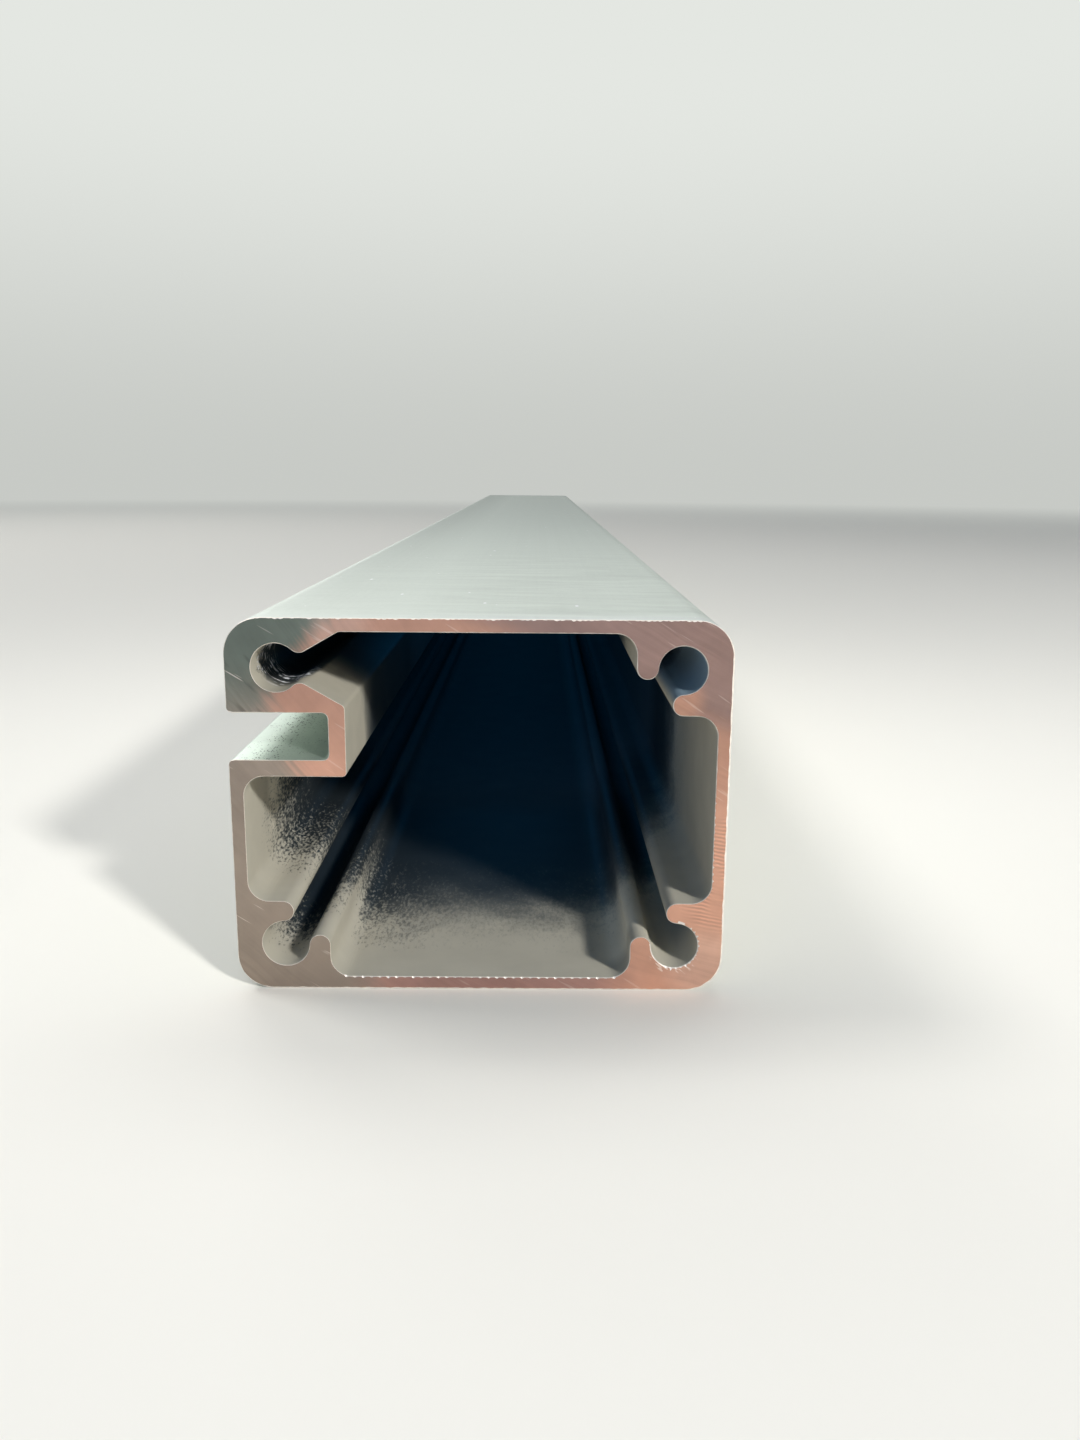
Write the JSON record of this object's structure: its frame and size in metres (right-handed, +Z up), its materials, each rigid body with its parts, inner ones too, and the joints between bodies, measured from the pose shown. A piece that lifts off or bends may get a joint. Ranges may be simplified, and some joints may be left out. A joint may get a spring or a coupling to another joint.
{
  "type": "aluminium extrusion profile",
  "caption": "Hollow aluminium extrusion sawn to length: a rounded box section with a screw port in each corner and a narrow groove along one side.",
  "frame": {"origin": "middle of the underside, halfway along the profile", "axes": "+Y along the profile, +Z up from the wide underside it lies on, the groove is open towards -X and lies near the top"},
  "size_m": [0.06, 0.7, 0.0464],
  "materials": {
    "aluminium": "natural satin anodised on the outside, bare metal on the two sawn ends, matt inside"
  },
  "bodies": {
    "root": {"extruded_profile": "aluminium"}
  },
  "joints": []
}
